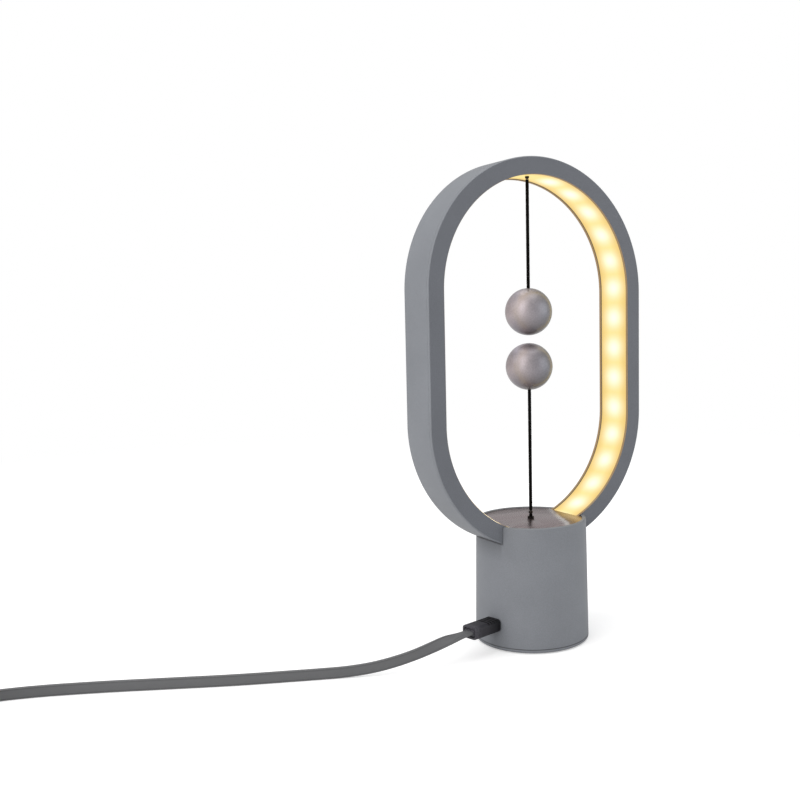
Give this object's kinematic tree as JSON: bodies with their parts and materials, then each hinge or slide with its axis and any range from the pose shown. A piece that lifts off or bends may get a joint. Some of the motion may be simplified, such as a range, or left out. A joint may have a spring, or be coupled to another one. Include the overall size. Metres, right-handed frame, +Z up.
{
  "type": "magnetic balance lamp",
  "caption": "Table lamp with an upright lit oval ring on a round base; magnetic balls on cords draw together inside the ring to work its switch.",
  "frame": {"origin": "centre of the base's underside, on the surface the lamp stands on", "axes": "+Z up, X across the ring's width, +Y towards the lamp's back; its front faces -Y"},
  "size_m": [0.4305, 0.1128, 0.25],
  "materials": {
    "base_lacquer": "fine satin grey lacquer",
    "cover_plastic": "grey moulded plastic",
    "disc_metal": "brushed, warm purple-grey tint",
    "ring_plastic": "fine matte grey",
    "diffuser": "milky, lit warm white from behind",
    "strip_white": "white flexible strip",
    "led_lens": "warm white light",
    "cord_black": "fine black braid",
    "bead_dark": "dark bronze bead",
    "eyelet_black": "soft black",
    "ball_metal": "satin, brown pewter tint",
    "magnet_nickel": "nickel plated",
    "weight_iron": "bare cast",
    "board_green": "solder mask",
    "chip_black": "moulded",
    "steel": "plain",
    "black_plastic": "moulded black",
    "plunger_white": "smooth off-white",
    "pad_rubber": "black foam rubber",
    "plug_plastic": "dark moulded",
    "cable_jacket": "smooth grey jacket",
    "tie_plastic": "black strap",
    "wire_red": "thin insulation"
  },
  "bodies": {
    "lamp": {"base_shell": "base_lacquer", "top_plate": "disc_metal", "cord_eyelet": "eyelet_black", "bottom_cover": "cover_plastic", "foot_pad": "pad_rubber", "cover_screws": "steel", "counterweight": "weight_iron", "circuit_board": "board_green", "board_parts": "chip_black", "usb_socket": "steel", "switch_bracket": "black_plastic", "bracket_screws": "steel", "switch_body": "black_plastic", "lever_pin": "steel", "lead_wires": "wire_red", "ring_body": "ring_plastic", "ring_cover": "ring_plastic", "diffuser": "diffuser", "led_strip": "strip_white", "leds": "led_lens", "ring_screws": "steel", "cord_anchor": "black_plastic", "micro_usb_plug": "plug_plastic", "micro_usb_tip": "steel", "usb_cable": "cable_jacket", "usb_cable_coil": "cable_jacket", "usb_cable_tail": "cable_jacket", "cable_tie": "tie_plastic", "usb_a_plug": "plug_plastic", "usb_a_shell": "steel"},
    "hang_bead": {"hang_bead": "bead_dark"},
    "upper_ball_set": {"upper_cord": "cord_black", "upper_ball": "ball_metal", "upper_magnet": "magnet_nickel", "upper_plug": "ball_metal"},
    "pull": {"pull_cord": "cord_black", "pull_knot": "cord_black"},
    "stop_bead": {"stop_bead": "bead_dark"},
    "lower_ball_set": {"lower_cord": "cord_black", "lower_ball": "ball_metal", "lower_magnet": "magnet_nickel", "lower_plug": "ball_metal"},
    "switch_lever": {"switch_lever": "steel"},
    "switch_plunger": {"switch_plunger": "plunger_white"}
  },
  "joints": [
    {"name": "upper_swing_fore_aft", "type": "hinge", "parent": "lamp", "child": "hang_bead", "pos_m": [0, 0, 0.2411], "axis": [1, 0, 0], "range_deg": [-60, 60]},
    {"name": "upper_swing_sideways", "type": "hinge", "parent": "hang_bead", "child": "upper_ball_set", "pos_m": [0, 0, 0.2411], "axis": [0, 1, 0], "range_deg": [-38, 38]},
    {"name": "pull_slide", "type": "slide", "parent": "lamp", "child": "pull", "axis": [0, 0, 1], "range_m": [-0.001, 0], "stiffness_N_per_m": 5000},
    {"name": "lower_lean_fore_aft", "type": "hinge", "parent": "pull", "child": "stop_bead", "pos_m": [0, 0, 0.0667], "axis": [1, 0, 0], "range_deg": [-60, 60], "stiffness_Nm_per_rad": 0.08},
    {"name": "lower_lean_sideways", "type": "hinge", "parent": "stop_bead", "child": "lower_ball_set", "pos_m": [0, 0, 0.0667], "axis": [0, 1, 0], "range_deg": [-34, 34], "stiffness_Nm_per_rad": 0.08},
    {"name": "lever_tilt", "type": "hinge", "parent": "lamp", "child": "switch_lever", "pos_m": [0.0132, 0, 0.0385], "axis": [0, 1, 0], "range_deg": [-4.5, 0]},
    {"name": "plunger_slide", "type": "slide", "parent": "lamp", "child": "switch_plunger", "axis": [0, 0, 1], "range_m": [-0.0005, 0]}
  ],
  "couplings": [
    {"joint": "lever_tilt", "follows": "pull_slide", "rad_per_m": 75.758},
    {"joint": "plunger_slide", "follows": "pull_slide", "ratio": 0.4697}
  ]
}
